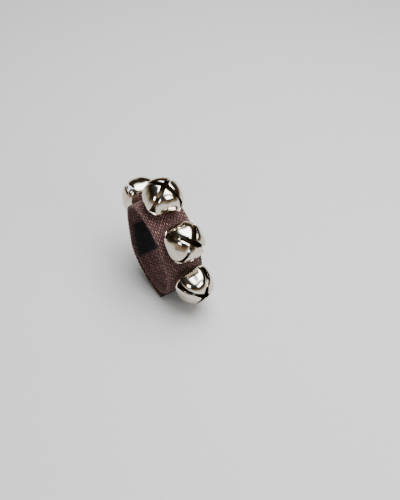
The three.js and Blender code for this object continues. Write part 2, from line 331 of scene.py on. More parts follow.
def noise(tree, coordinates, scale, detail=3.0, roughness=0.5):
    node = add_node(tree, "ShaderNodeTexNoise", Scale=scale, Detail=detail, Roughness=roughness)
    tree.links.new(coordinates, node.inputs["Vector"])
    return node.outputs["Fac"]


def map_range(tree, source, low, high):
    node = tree.nodes.new("ShaderNodeMapRange")
    node.inputs["To Min"].default_value = low
    node.inputs["To Max"].default_value = high
    tree.links.new(source, node.inputs["Value"])
    return node.outputs["Result"]


def bump(tree, shader, height, strength, distance):
    node = add_node(tree, "ShaderNodeBump", Strength=strength, Distance=distance)
    tree.links.new(height, node.inputs["Height"])
    tree.links.new(node.outputs["Normal"], shader.inputs["Normal"])


def multiply_colour(tree, factor, first, second):
    node = tree.nodes.new("ShaderNodeMix")
    node.data_type = "RGBA"
    node.blend_type = "MULTIPLY"
    node.inputs["Factor"].default_value = factor
    tree.links.new(first, node.inputs["A"])
    tree.links.new(second, node.inputs["B"])
    return node.outputs["Result"]


def plated_metal(name, tint, dull, roughness_low, roughness_high):
    """Polished plate: a warm tint that drifts a little, faint haze and fine handling scratches."""
    material, tree, shader = new_material(name)
    coordinates = object_coordinates(tree)
    drift = noise(tree, coordinates, scale=140.0)
    tree.links.new(ramp(tree, drift, [(0.35, dull), (0.65, tint)]), shader.inputs["Base Color"])
    haze = noise(tree, coordinates, scale=420.0, detail=5.0, roughness=0.65)
    tree.links.new(map_range(tree, haze, roughness_low, roughness_high), shader.inputs["Roughness"])
    shader.inputs["Metallic"].default_value = 1.0
    stretch = add_node(tree, "ShaderNodeMapping")
    stretch.inputs["Scale"].default_value = (1.0, 0.12, 1.0)
    stretch.inputs["Rotation"].default_value = (0.3, 0.5, 0.9)
    tree.links.new(coordinates, stretch.inputs["Vector"])
    scratches = noise(tree, stretch.outputs["Vector"], scale=5200.0, detail=2.0)
    bump(tree, shader, scratches, strength=0.05, distance=0.00003)
    return material


def webbing_material():
    """Brown cotton webbing: painted shade makes it dark between the yarns, and it is paler on their crowns.
    """
    material, tree, shader = new_material("webbing")
    coordinates = object_coordinates(tree)
    crown = add_node(tree, "ShaderNodeAttribute", attribute_name="weave").outputs["Fac"]
    yarn = add_node(tree, "ShaderNodeAttribute", attribute_name="yarn").outputs["Fac"]
    # Painted shade: the weave attribute runs the colour from near black between the yarns to brown on their
    # crowns.
    painted_yarn_shade = ramp(tree, crown, [
        (0.0, (0.004, 0.0012, 0.0012)),
        (0.3, (0.016, 0.0055, 0.005)),
        (0.6, (0.095, 0.036, 0.032)),
        (1.0, (0.34, 0.165, 0.148)),
    ])
    batch = ramp(tree, yarn, [(0.0, (0.5, 0.45, 0.45)), (1.0, (1.0, 1.0, 1.0))])
    coloured = multiply_colour(tree, 0.9, painted_yarn_shade, batch)
    patch = noise(tree, coordinates, scale=90.0, detail=4.0)
    faded = ramp(tree, patch, [(0.35, (0.78, 0.75, 0.75)), (0.7, (1.0, 1.0, 1.0))])
    tree.links.new(multiply_colour(tree, 0.8, coloured, faded), shader.inputs["Base Color"])
    shader.inputs["Roughness"].default_value = 0.92
    shader.inputs["Sheen Weight"].default_value = 0.1
    shader.inputs["Sheen Roughness"].default_value = 0.6
    shader.inputs["Sheen Tint"].default_value = (0.8, 0.62, 0.6, 1)
    fibres = noise(tree, coordinates, scale=3800.0, roughness=0.7)
    bump(tree, shader, fibres, strength=0.5, distance=0.0001)
    return material


def tape_material(name, crown_colour):
    """Black nylon of the hook and loop tapes."""
    material, tree, shader = new_material(name)
    coordinates = object_coordinates(tree)
    drift = noise(tree, coordinates, scale=700.0, detail=4.0)
    tree.links.new(ramp(tree, drift, [(0.3, (0.003, 0.003, 0.003)), (0.75, crown_colour)]),
                   shader.inputs["Base Color"])
    shader.inputs["Roughness"].default_value = 0.75
    shader.inputs["Specular IOR Level"].default_value = 0.25
    bump(tree, shader, noise(tree, coordinates, scale=2600.0), strength=0.5, distance=0.0001)
    return material


def thread_material():
    """Twisted sewing thread, a shade darker than the webbing."""
    material, tree, shader = new_material("thread")
    coordinates = object_coordinates(tree)
    drift = noise(tree, coordinates, scale=900.0)
    tree.links.new(ramp(tree, drift, [(0.3, (0.05, 0.025, 0.024)), (0.7, (0.12, 0.065, 0.06))]),
                   shader.inputs["Base Color"])
    shader.inputs["Roughness"].default_value = 0.7
    twist = add_node(tree, "ShaderNodeTexWave", Scale=900.0, Distortion=0.5)
    twist.bands_direction = "DIAGONAL"
    tree.links.new(coordinates, twist.inputs["Vector"])
    bump(tree, shader, twist.outputs["Fac"], strength=0.6, distance=0.0001)
    return material


def steel_material():
    """Tumbled steel of the pellets: grey and satin, with a fine grain."""
    material, tree, shader = new_material("pellet_steel")
    coordinates = object_coordinates(tree)
    drift = noise(tree, coordinates, scale=300.0, detail=5.0)
    tree.links.new(ramp(tree, drift, [(0.3, (0.30, 0.29, 0.27)), (0.7, (0.55, 0.54, 0.51))]),
                   shader.inputs["Base Color"])
    tree.links.new(map_range(tree, drift, low=0.18, high=0.4), shader.inputs["Roughness"])
    shader.inputs["Metallic"].default_value = 1.0
    bump(tree, shader, noise(tree, coordinates, scale=1500.0), strength=0.25, distance=0.0001)
    return material


def floor_material():
    material, tree, shader = new_material("studio_floor")
    coordinates = object_coordinates(tree)
    drift = noise(tree, coordinates, scale=2.0)
    tree.links.new(ramp(tree, drift, [(0.3, (0.43, 0.43, 0.43)), (0.7, (0.45, 0.45, 0.45))]),
                   shader.inputs["Base Color"])
    shader.inputs["Roughness"].default_value = 0.9
    return material


nickel = plated_metal(
    "bell_nickel",
    tint=(0.67, 0.63, 0.56), dull=(0.56, 0.49, 0.39), roughness_low=0.06, roughness_high=0.15,
)
# Painted shade: the inside of each bell is near-black metal, so that its hollow and slots look dark.
shaded_inner_metal = plated_metal(
    "bell_inside_painted_shade",
    tint=(0.1, 0.075, 0.04), dull=(0.03, 0.02, 0.01), roughness_low=0.3, roughness_high=0.5,
)
rivet_nickel = plated_metal(
    "rivet_nickel",
    tint=(0.67, 0.63, 0.56), dull=(0.56, 0.51, 0.43), roughness_low=0.12, roughness_high=0.28,
)
webbing = webbing_material()
hook_nylon = tape_material("hook_nylon", (0.013, 0.012, 0.013))
loop_nylon = tape_material("loop_nylon", (0.02, 0.019, 0.02))
thread = thread_material()
pellet_steel = steel_material()


# ---- Woven strap ----

# Sizes of the weave (mm), and how unevenly it is woven.
YARN_PITCH = 1.25
FLOAT_LENGTH = 2.5
FLOAT_SLANT = 0.55  # leans the floats of every other yarn the other way, as in a herringbone
FLOAT_FULLNESS = 1.15
FLOAT_ENDS = 0.2  # height of a float's ends, as a share of its crown
THINNEST_FLOAT = 0.78
FLOAT_VARIATION = 0.22
YARN_DRIFT = 0.16  # how far the yarns stray across the strap over a long run
YARN_DRIFT_RATE = 0.55
YARN_SHAKE = 0.1  # and over a short one
YARN_SHAKE_RATE = 1.3
YARN_SHAKE_SHEAR = 0.4
YARN_PULL = 0.14  # how unevenly the floats are drawn along the strap, from yarn to yarn
YARN_CREEP = 0.05  # and within a yarn
YARN_CREEP_RATE = 0.8
WEAVE_RELIEF = 0.42
EDGE_ROUNDING = 0.6
STRAP_ROW_STEP = 0.3
FLEX_ROW_STEP = 0.25

# How the cloth is pressed by seats and washers, and melted where it is cut.
PRESS_FADE = 1.5
PRESSED_FLAT = 0.6
# Painted shade: the cloth round each bell's seat and washer is darkened by this share.
PRESSED_PAINTED_SHADE = 0.5
SEAT_DENT = 0.3
WASHER_DENT = 0.5
MELT_REACH = 0.7
MELT_DEPTH = 0.4
MELT_SHADE = 0.8


def strap_section():
    """Points round the strap's section: x, level, outward direction, and distance round the section."""
    side = WEBBING_WIDTH / 2 - EDGE_ROUNDING
    outer_step = 0.25
    inner_step = 0.42
    corner_steps = 5
    bottom = -WEBBING_THICKNESS
    points = []

    def corner(x, level, start):
        for step in range(1, corner_steps):
            turn = start - step / corner_steps * math.pi / 2
            cos, sin = math.cos(turn), math.sin(turn)
            points.append((x + EDGE_ROUNDING * cos, level + EDGE_ROUNDING * sin, (cos, sin)))

    for x in np.arange(-side, side + outer_step / 2, outer_step):
        points.append((x, 0.0, (0.0, 1.0)))
    corner(side, -EDGE_ROUNDING, math.pi / 2)
    points.append((side + EDGE_ROUNDING, -EDGE_ROUNDING, (1.0, 0.0)))
    points.append((side + EDGE_ROUNDING, bottom + EDGE_ROUNDING, (1.0, 0.0)))
    corner(side, bottom + EDGE_ROUNDING, 0.0)
    for x in np.arange(side, -side - inner_step / 2, -inner_step):
        points.append((x, bottom, (0.0, -1.0)))
    corner(-side, bottom + EDGE_ROUNDING, -math.pi / 2)
    points.append((-side - EDGE_ROUNDING, bottom + EDGE_ROUNDING, (-1.0, 0.0)))
    points.append((-side - EDGE_ROUNDING, -EDGE_ROUNDING, (-1.0, 0.0)))
    corner(-side, -EDGE_ROUNDING, math.pi)
    x = np.array([p[0] for p in points])
    level = np.array([p[1] for p in points])
    direction = np.array([p[2] for p in points])
    walked = np.concatenate([[0], np.cumsum(np.hypot(np.diff(x), np.diff(level)))])
    return x, level, direction, walked


def scatter(column, row, salt):
    """A repeatable random number from 0 to 1 for each yarn float, by the usual sine hash."""
    value = np.sin(column * 12.9898 + row * 78.233 + salt) * 43758.5453
    return value - np.floor(value)


def weave(across, s):
    """Height of the weave (0 between yarns, 1 on a crown) and each yarn float's own random number."""
    drift = YARN_DRIFT * np.sin(YARN_DRIFT_RATE * s)
    shake = YARN_SHAKE * np.sin(YARN_SHAKE_RATE * s + YARN_SHAKE_SHEAR * across)
    across = across + drift + shake
    column = np.floor(across / YARN_PITCH)
    off_centre = across / YARN_PITCH - column - 0.5
    lean = np.where(column % 2 == 0, 1.0, -1.0)
    creep = YARN_CREEP * np.sin(YARN_CREEP_RATE * s + column)
    pull = YARN_PULL * (scatter(column, 0, 5.0) - 0.5) + creep
    phase = s / FLOAT_LENGTH + 0.5 * (column % 2) + FLOAT_SLANT * lean * off_centre + pull
    row = np.floor(phase)
    off_middle = phase - row - 0.5
    rounded = np.clip(1 - (2 * off_centre) ** 2, 0, 1)
    floated = np.clip(FLOAT_FULLNESS * np.cos(math.pi * off_middle), 0, 1)
    full = THINNEST_FLOAT + FLOAT_VARIATION * scatter(column, row, 1.0)
    height = rounded * (FLOAT_ENDS + (1 - FLOAT_ENDS) * floated) * full
    return height, scatter(column, row, 0.0)


def press(x, s, radius, fade):
    """How fully a point is under a bell's seat or over its washer: 1 inside radius, 0 past fade."""
    pressed = np.zeros(np.broadcast(x, s).shape)
    for n in BELLS:
        away = np.hypot(x - BELL_ACROSS[n], s - bell_distance[n])
        pressed = np.maximum(pressed, np.clip((radius + fade - away) / fade, 0, 1))
    return pressed * pressed * (3 - 2 * pressed)


def melt(s, start, end, capped_start, capped_end):
    """How far the cloth is melted towards its cut ends: 1 at the cut, 0 past MELT_REACH."""
    melted = np.zeros(s.shape)
    if capped_start:
        melted = np.maximum(melted, np.clip(1 - (s - start) / MELT_REACH, 0, 1))
    if capped_end:
        melted = np.maximum(melted, np.clip(1 - (end - s) / MELT_REACH, 0, 1))
    return melted


def strap_piece(name, start, end, row_step, capped_start, capped_end):
    """One length of the woven strap, between two distances along it."""
    x, level, direction, walked = strap_section()
    rows = max(int(round((end - start) / row_step)), 2) + 1
    s = np.linspace(start, end, rows)[:, None]
    height, shade = weave(walked[None, :], s)
    seat = press(x[None, :], s, SEAT_RADIUS + CLEARANCE, PRESS_FADE)
    back = press(x[None, :], s, WASHER_RADIUS + CLEARANCE, PRESS_FADE)
    outer_face = direction[None, :, 1] > 0.5
    inner_face = direction[None, :, 1] < -0.5
    squeezed = np.where(outer_face, seat, np.where(inner_face, back, 0))
    drop = (1 - height) * WEAVE_RELIEF * (1 - PRESSED_FLAT * squeezed)
    drop = drop + np.where(outer_face, SEAT_DENT * seat, 0) + np.where(inner_face, WASHER_DENT * back, 0)
    melted = melt(s, start, end, capped_start, capped_end)
    drop = drop + MELT_DEPTH * melted**2
    px = x[None, :] - direction[None, :, 0] * drop
    pl = level[None, :] - direction[None, :, 1] * drop
    vertices = []
    for row in range(rows):
        y, z, angle = along(whole_path, float(s[row, 0]))
        sin, cos = math.sin(angle), math.cos(angle)
        vertices.append(np.stack([px[row], y + pl[row] * sin, z + pl[row] * cos], axis=1) * MM)
    columns = len(x)
    faces = grid_faces(rows, columns, closed=True)
    faces = [tuple(reversed(face)) for face in faces]
    if capped_start:
        faces.append(tuple(range(columns)))
    if capped_end:
        faces.append(tuple(range(rows * columns - 1, (rows - 1) * columns - 1, -1)))
    piece = new_object(name, np.concatenate(vertices), faces, [webbing])
    # Colour of the cloth: painted shade between the yarns and round the seats and washers, and darker melted
    # ends.
    crown = height * (1 - PRESSED_PAINTED_SHADE * squeezed) * (1 - MELT_SHADE * melted)
    set_point_attribute(piece, "weave", crown.ravel())
    set_point_attribute(piece, "yarn", np.broadcast_to(shade, crown.shape).ravel())
    return piece


def build_strap():
    end = path_length(whole_path)
    flex_start = hinge_distance - FLEX_REACH
    flex_end = hinge_distance + FLEX_REACH
    main = strap_piece("woven_strap", 0.0, flex_start, STRAP_ROW_STEP, capped_start=True, capped_end=False)
    finish_piece(main, "strap", ["strap_webbing"])
    tab = strap_piece("woven_tab", flex_end, end, STRAP_ROW_STEP, capped_start=False, capped_end=True)
    finish_piece(tab, "tab", ["strap_tab"])
    flex = strap_piece(
        "woven_flex", flex_start, flex_end, FLEX_ROW_STEP, capped_start=False, capped_end=False)
    middle = -WEBBING_THICKNESS / 2
    place(whole_path, flex_start, 0.0, middle)
    place(whole_path, flex_end, 0.0, middle)
    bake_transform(flex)


build_strap()


# ---- Hook and loop tapes ----

# Sizes of the tapes' pile (mm), and where its random draws start.
HOOK_SEED = 3
LOOP_SEED = 7
BAND_STEP = 1.5
HOOK_GROUND = 0.4
HOOK_PITCH = 1.1
HOOK_REACH = 0.62
HOOK_WIRE = 0.11
HOOK_STRAY = 0.12
HOOK_END_BORDER = 0.8
HOOK_SIDE_BORDER = 0.9
LOOP_GROUND = 0.45
LOOP_PITCH = 0.8
LOOP_SPAN = 0.35
LOOP_REACH = 0.5
LOOP_WIRE = 0.07
LOOP_STRAY = 0.2
LOOP_BORDER = 0.6
BRISTLE_TIP = 0.6
# One hook and one loop, from foot to end: how far over (mm, or spans) and the share of the height.
HOOK_BEND = [(0.0, 0.0), (0.0, 0.7), (0.12, 1.0), (0.36, 0.9), (0.42, 0.6)]
LOOP_ARCH = [(-1.0, 0.0), (-0.8, 0.8), (0.0, 1.0), (0.8, 0.8), (1.0, 0.0)]


def flat_band(path, start, end, width, low, high, step):
    """Vertices and faces of a closed flat band that follows a path."""
    side = width / 2
    soft = 0.15
    section = [
        (-side, low + soft), (-side + soft, low), (side - soft, low), (side, low + soft),
        (side, high - soft), (side - soft, high), (-side + soft, high), (-side, high - soft),
    ]
    rows = int(math.ceil((end - start) / step)) + 1
    vertices = []
    for s in np.linspace(start, end, rows):
        for x, level in section:
            vertices.append(place(path, float(s), x, level))
    count = len(section)
    faces = grid_faces(rows, count, closed=True)
    faces.append(tuple(range(count - 1, -1, -1)))
    faces.append(tuple(range((rows - 1) * count, rows * count)))
    return vertices, faces


def bristle(path, points, radius, sides=4):
    """Vertices and faces of a thin bent wire through (s, x, level) points."""
    vertices = []
    for index, (s, x, level) in enumerate(points):
        taper = 1.0 if index < len(points) - 1 else BRISTLE_TIP
        for side in range(sides):
            turn = TURN * side / sides
            vertices.append(place(
                path, s + radius * taper * math.cos(turn), x + radius * taper * math.sin(turn), level))
    faces = grid_faces(len(points), sides, closed=True)
    faces.append(tuple(range(sides - 1, -1, -1)))
    faces.append(tuple(range((len(points) - 1) * sides, len(points) * sides)))
    return vertices, faces


def joined(parts):
    vertices, faces = [], []
    for part_vertices, part_faces in parts:
        offset = len(vertices)
        vertices.extend(part_vertices)
        faces.extend(tuple(i + offset for i in face) for face in part_faces)
    return vertices, faces


def hook_tape():
    """Rows of small nylon hooks on a flat ground, on the tab's inner face."""
    chance = random.Random(HOOK_SEED)
    start, end = HOOK_TAPE_START, hook_tape_end
    high = -WEBBING_THICKNESS - CLEARANCE / 2
    ground = high - HOOK_GROUND
    parts = [flat_band(tab_path, start, end, TAPE_WIDTH, ground, high, BAND_STEP)]
    side = TAPE_WIDTH / 2 - HOOK_SIDE_BORDER
    for s in np.arange(start + HOOK_END_BORDER, end - HOOK_END_BORDER, HOOK_PITCH):
        for index, x in enumerate(np.arange(-side, side, HOOK_PITCH)):
            way = 1 if index % 2 else -1
            foot = float(s) + chance.uniform(-HOOK_STRAY, HOOK_STRAY)
            height = HOOK_REACH * chance.uniform(0.85, 1.0)
            bend = [(foot + over * way, x, ground - share * height) for over, share in HOOK_BEND]
            parts.append(bristle(tab_path, bend, HOOK_WIRE))
    vertices, faces = joined(parts)
    piece = new_object("hook_tape_pile", vertices, faces, [hook_nylon])
    finish_piece(piece, "tab", ["hook_tape"])


def loop_tape():
    """A napped pile of fine loops on a flat ground, on the outer face of the layer beneath the tab."""
    chance = random.Random(LOOP_SEED)
    start, end = LOOP_TAPE_START, loop_tape_end
    low = CLEARANCE / 2
    ground = low + LOOP_GROUND
    parts = [flat_band(webbing_path, start, end, TAPE_WIDTH, low, ground, BAND_STEP)]
    side = TAPE_WIDTH / 2 - LOOP_BORDER
    for s in np.arange(start + LOOP_BORDER, end - LOOP_BORDER, LOOP_PITCH):
        for x in np.arange(-side, side, LOOP_PITCH):
            turn = chance.uniform(0, TURN)
            ds, dx = LOOP_SPAN * math.cos(turn), LOOP_SPAN * math.sin(turn)
            height = LOOP_REACH * chance.uniform(0.7, 1.0)
            foot_s = float(s) + chance.uniform(-LOOP_STRAY, LOOP_STRAY)
            foot_x = float(x) + chance.uniform(-LOOP_STRAY, LOOP_STRAY)
            arch = [
                (foot_s + over * ds, foot_x + over * dx, ground + share * height)
                for over, share in LOOP_ARCH
            ]
            parts.append(bristle(webbing_path, arch, LOOP_WIRE, sides=3))
    vertices, faces = joined(parts)
    piece = new_object("loop_tape_pile", vertices, faces, [loop_nylon])
    finish_piece(piece, "strap", ["loop_tape"])


hook_tape()
loop_tape()


# ---- Stitching ----

STITCH_LENGTH = 2.4
STITCH_GAP = 0.5
THREAD_RADIUS = 0.24
STITCH_RISE = 1.6  # in thread radii, from the lowest to the highest point of a stitch
STITCH_SINK = 0.9
STITCH_NECK = 0.75
STITCH_RINGS = 9
STITCH_SIDES = 8


def stitch(path, from_point, to_point, level, away):
    """One stitch between two (s, x) points: a thread that rises from its holes and lies on the cloth."""
    vertices = []
    ds, dx = to_point[0] - from_point[0], to_point[1] - from_point[1]
    length = math.hypot(ds, dx)
    across = (-dx / length, ds / length)
    for ring in range(STITCH_RINGS):
        t = ring / (STITCH_RINGS - 1)
        rise = THREAD_RADIUS * (STITCH_RISE * math.sin(math.pi * t) ** 0.5 - STITCH_SINK)
        radius = THREAD_RADIUS * (STITCH_NECK + (1 - STITCH_NECK) * math.sin(math.pi * t))
        for side in range(STITCH_SIDES):
            turn = TURN * side / STITCH_SIDES
            offset = radius * math.cos(turn)
            vertices.append(place(
                path,
                from_point[0] + ds * t + across[0] * offset,
                from_point[1] + dx * t + across[1] * offset,
                level + away * (rise + radius * math.sin(turn)),
            ))
    faces = grid_faces(STITCH_RINGS, STITCH_SIDES, closed=True)
    faces.append(tuple(range(STITCH_SIDES - 1, -1, -1)))
    faces.append(tuple(range((STITCH_RINGS - 1) * STITCH_SIDES, STITCH_RINGS * STITCH_SIDES)))
    return vertices, faces


def seam(path, start, end, level, away):
    """A rectangle of lockstitches round a tape, on one face of the strap."""
    side = TAPE_WIDTH / 2 - SEAM_INSET
    low, high = start + SEAM_INSET, end - SEAM_INSET
    corners = [(low, -side), (high, -side), (high, side), (low, side)]
    parts = []
    for first, second in zip(corners, corners[1:] + corners[:1]):
        run = math.hypot(second[0] - first[0], second[1] - first[1])
        count = round(run / (STITCH_LENGTH + STITCH_GAP))
        for index in range(count):
            t0 = (index + 0.5 * STITCH_GAP / (STITCH_LENGTH + STITCH_GAP)) / count
            t1 = (index + 1) / count - (t0 - index / count)
            parts.append(stitch(
                path,
                (first[0] + (second[0] - first[0]) * t0, first[1] + (second[1] - first[1]) * t0),
                (first[0] + (second[0] - first[0]) * t1, first[1] + (second[1] - first[1]) * t1),
                level, away,
            ))
    return parts


def build_stitching():
    outer_face = 0.0
    vertices, faces = joined(seam(tab_path, HOOK_TAPE_START, hook_tape_end, outer_face, away=1))
    piece = new_object("tab_seam", vertices, faces, [thread])
    finish_piece(piece, "tab", ["hook_stitching"])
    inner_face = -WEBBING_THICKNESS
    vertices, faces = joined(seam(webbing_path, LOOP_TAPE_START, loop_tape_end, inner_face, away=-1))
    piece = new_object("strap_seam", vertices, faces, [thread])
    finish_piece(piece, "strap", ["loop_stitching"])


build_stitching()


# ---- Bells ----

# Dents of a bell's sheet (mm), and the ranges that each petal and wave is drawn from.
PETAL_LEAN = 0.35
PLEAT_DEPTH = 0.09
PLEAT_COUNTS = (2.2, 3.4)  # pleats across one petal
PLEAT_ANGLE = math.radians(66)
PLEAT_SPREAD = math.radians(20)
SHEET_DENT = 0.09
SHEET_WAVES = 4
WAVES_ROUND = (1.5, 3.5)
WAVES_DOWN = (1.5, 4.5)
NECK_DEPTH = 0.12
NECK_BELOW_RIM = math.radians(7)
NECK_SPREAD = math.radians(4)

# Fineness of the meshes. A sector is one petal and one slot.
PETAL_COLUMNS = 22
SLOT_COLUMNS = 8
SECTOR_COLUMNS = PETAL_COLUMNS + SLOT_COLUMNS
PETAL_ROWS = 40
BOWL_ROWS = 26
SEAT_RINGS = (4.2, 3.2, 2.4, HOLE_RADIUS)
DOME_STEPS = 10
RIVET_SEGMENTS = 40
WASHER_SEGMENTS = 48
PELLET_RINGS = 32
PELLET_SEGMENTS = 48
POLE_GAP = 0.02

# Each bell's random draws start from one of these plus its number.
SHELL_SEED = 40
PELLET_SEED = 70


def bell_matrix(n):
    """The bell's frame, from its joint: origin on the strap, +Z along its axis, +X across the strap."""
    joint = next(j for j in frame["joints"] if j["name"] == f"bell_{n}_spin")
    up = Vector(joint["axis"]).normalized()
    across = Vector((1, 0, 0))
    turned = Matrix((across, up.cross(across), up)).transposed().to_4x4()
    return Matrix.Translation(Vector(joint["pos_m"])) @ turned


def shell_point(polar, around, wobble):
    """A point of the bell's outer face. wobble bends the petals and dents the sheet a little."""
    squared = BELL_SQUARENESS * math.sin(polar) ** 2 * (0.5 - 0.5 * math.cos(PETALS * around))
    ring = (BELL_RADIUS - squared) * math.sin(polar)
    height = CROWN_HEIGHT if polar < math.pi / 2 else BOWL_SCALE
    z = max(height * math.cos(polar), -BOWL_DEPTH)
    dent = wobble(polar, around)
    return Vector((
        (ring - dent * math.sin(polar)) * math.cos(around),
        (ring - dent * math.sin(polar)) * math.sin(around),
        z - dent * math.cos(polar),
    ))


def edge_roll(polar, around):
    """How far a petal's sheared edge turns in along the slots on its two sides."""
    sector = TURN / PETALS
    from_slot = abs((around + sector / 2) % sector - sector / 2) - slot_half_angle(min(polar, RIM_ANGLE))
    reach = from_slot * BELL_RADIUS * math.sin(polar)
    fade = min(max((RIM_ANGLE - polar) / EDGE_ROLL_FADE, 0.0), 1.0)
    return EDGE_ROLL * fade * math.exp(-((max(reach, 0.0) / EDGE_ROLL_REACH) ** 2))


def make_wobble(seed):
    """Small inward dents: each petal sits and creases a little differently, and the sheet isn't true."""
    chance = random.Random(seed)
    petal_in = [chance.uniform(0.0, PETAL_LEAN) for _ in range(PETALS)]
    pleats = [(chance.uniform(*PLEAT_COUNTS), chance.uniform(0, TURN)) for _ in range(PETALS)]
    waves = [
        (chance.uniform(*WAVES_ROUND), chance.uniform(*WAVES_DOWN), chance.uniform(0, TURN))
        for _ in range(SHEET_WAVES)
    ]

    def wobble(polar, around):
        petal = int((around % TURN) / (TURN / PETALS)) % PETALS
        tip = max(0.0, 1 - polar / (math.pi / 2))
        sheet = sum(math.sin(a * around * 2 + b * polar * 2 + phase) for a, b, phase in waves) / len(waves)
        fade = math.sin(polar) ** 2 if polar > math.pi / 2 else 1.0
        neck = math.exp(-(((polar - RIM_ANGLE - NECK_BELOW_RIM) / NECK_SPREAD) ** 2))
        count, phase = pleats[petal]
        folded = math.exp(-(((polar - PLEAT_ANGLE) / PLEAT_SPREAD) ** 2))
        pleat = PLEAT_DEPTH * (1 + math.sin(count * PETALS * around + phase)) * folded
        dents = petal_in[petal] * tip**1.5 + SHEET_DENT * (1 + sheet) * fade + NECK_DEPTH * neck
        return dents + pleat + edge_roll(polar, around)

    return wobble


def slot_half_angle(polar):
    """Half the angle that a slot between two petals takes up, at one height of the bell."""
    widening = min(max((polar - WAIST_ANGLE) / (RIM_ANGLE - WAIST_ANGLE), 0.0), 1.0)
    half = SLOT_HALF_WIDTH + (SLOT_FOOT_HALF_WIDTH - SLOT_HALF_WIDTH) * widening**SLOT_FLARE
    return math.asin(half / (BELL_RADIUS * math.sin(polar)))


def shell_mesh(n):
    """The folded sheet as one grid: petal rows where only the petals have metal, then the whole bowl."""
    columns = PETALS * SECTOR_COLUMNS
    sector = TURN / PETALS
    wobble = make_wobble(SHELL_SEED + n)
    lower_angles = [
        RIM_ANGLE + (SEAT_ANGLE - RIM_ANGLE) * row / BOWL_ROWS for row in range(1, BOWL_ROWS + 1)
    ]
    lower_angles += [math.pi - math.asin(radius / BELL_RADIUS) for radius in SEAT_RINGS]
    rows = PETAL_ROWS + len(lower_angles)
    vertices = []
    faces = []
    used = {}

    def vertex(row, column):
        column %= columns
        if (row, column) not in used:
            petal, spot = divmod(column, SECTOR_COLUMNS)
            if row <= PETAL_ROWS:
                side = min(abs(2 * spot / PETAL_COLUMNS - 1), 1.0)
                top = TIP_ANGLE + (SHOULDER_ANGLE - TIP_ANGLE) * side**TIP_ROUNDING
                polar = top + (RIM_ANGLE - top) * row / PETAL_ROWS
            else:
                polar = lower_angles[row - PETAL_ROWS - 1]
            slot = slot_half_angle(min(polar, RIM_ANGLE))
            around = petal * sector + slot + (sector - 2 * slot) * min(spot / PETAL_COLUMNS, 1.0)
            around += 2 * slot * max((spot - PETAL_COLUMNS) / SLOT_COLUMNS, 0.0)
            used[row, column] = len(vertices)
            vertices.append(shell_point(polar, around, wobble))
        return used[row, column]

    for row in range(rows):
        for column in range(columns):
            if row >= PETAL_ROWS or column % SECTOR_COLUMNS < PETAL_COLUMNS:
                faces.append((vertex(row, column), vertex(row + 1, column),
                              vertex(row + 1, column + 1), vertex(row, column + 1)))
    return vertices, faces


def build_shell(n):
    vertices, faces = shell_mesh(n)
    place_shell = bell_matrix(n) @ Matrix.Scale(MM, 4) @ Matrix.Translation((0, 0, BOWL_DEPTH))
    place_shell = place_shell @ Matrix.Rotation(BELL_SPIN[n], 4, "Z")
    piece = new_object(f"bell_{n}", [place_shell @ v for v in vertices], faces,
                       [nickel, shaded_inner_metal])
    sheet = piece.modifiers.new("sheet", "SOLIDIFY")
    sheet.thickness = SHEET * MM
    sheet.offset = -1
    sheet.use_even_offset = True
    sheet.material_offset = 1
    edge = piece.modifiers.new("edge", "BEVEL")
    edge.width = EDGE_BEVEL * MM
    edge.segments = 4
    edge.limit_method = "ANGLE"
    edge.angle_limit = math.radians(40)
    apply_modifiers(piece)
    piece.data.shade_smooth()
    finish_piece(piece, f"bell_{n}", [f"bell_shell_{n}"])


def turned_piece(name, n, profile, segments, material):
    """A turned piece about a bell's axis; profile is (radius, height) pairs, capped where it is open."""
    vertices = []
    matrix = bell_matrix(n) @ Matrix.Scale(MM, 4)
    for radius, height in profile:
        for segment in range(segments):
            turn = TURN * segment / segments
            vertices.append(matrix @ Vector((radius * math.cos(turn), radius * math.sin(turn), height)))
    faces = grid_faces(len(profile), segments, closed=True)
    if profile[0] != profile[-1]:
        faces.append(tuple(range(segments - 1, -1, -1)))
        faces.append(tuple(range((len(profile) - 1) * segments, len(profile) * segments)))
    return new_object(name, vertices, faces, [material])


def dome(radius, foot, height, hollow=0.0):
    """Profile points of a domed head, from its rim up to its middle."""
    points = []
    for step in range(DOME_STEPS + 1):
        turn = math.pi / 2 * step / DOME_STEPS
        r = max(radius * math.cos(turn), 0.02)
        dip = hollow * max(0.0, 1 - (r / (0.45 * radius)) ** 2)
        points.append((r, foot + height * math.sin(turn) - dip))
    return points


def build_rivet(n):
    upright_tail = dome(TAIL_RADIUS, TAIL_TOP + TAIL_EDGE, TAIL_HEIGHT - TAIL_EDGE, TAIL_HOLLOW)
    tail = [(r, 2 * TAIL_TOP - z) for r, z in upright_tail]
    head = dome(HEAD_RADIUS, HEAD_FOOT + HEAD_EDGE, HEAD_HEIGHT - HEAD_EDGE)
    profile = list(reversed(tail)) + [
        (TAIL_RADIUS, TAIL_TOP),
        (SHANK_RADIUS, TAIL_TOP),
        (SHANK_RADIUS, HEAD_FOOT),
        (HEAD_RADIUS, HEAD_FOOT),
    ] + head
    piece = turned_piece(f"rivet_body_{n}", n, profile, RIVET_SEGMENTS, rivet_nickel)
    finish_piece(piece, "strap", [f"rivet_{n}"])


def build_washer(n):
    foot = WASHER_TOP - WASHER_THICKNESS
    soft = 0.12
    profile = [
        (HOLE_RADIUS, WASHER_TOP - soft), (HOLE_RADIUS, foot + soft), (HOLE_RADIUS + soft, foot),
        *[(WASHER_RADIUS - inward, foot + up) for inward, up in WASHER_ROUNDING],
        (WASHER_RADIUS, WASHER_TOP - soft), (WASHER_RADIUS - soft, WASHER_TOP),
        (HOLE_RADIUS + soft, WASHER_TOP), (HOLE_RADIUS, WASHER_TOP - soft),
    ]
    piece = turned_piece(f"washer_plate_{n}", n, profile, WASHER_SEGMENTS, rivet_nickel)
    finish_piece(piece, "strap", [f"washer_{n}"])


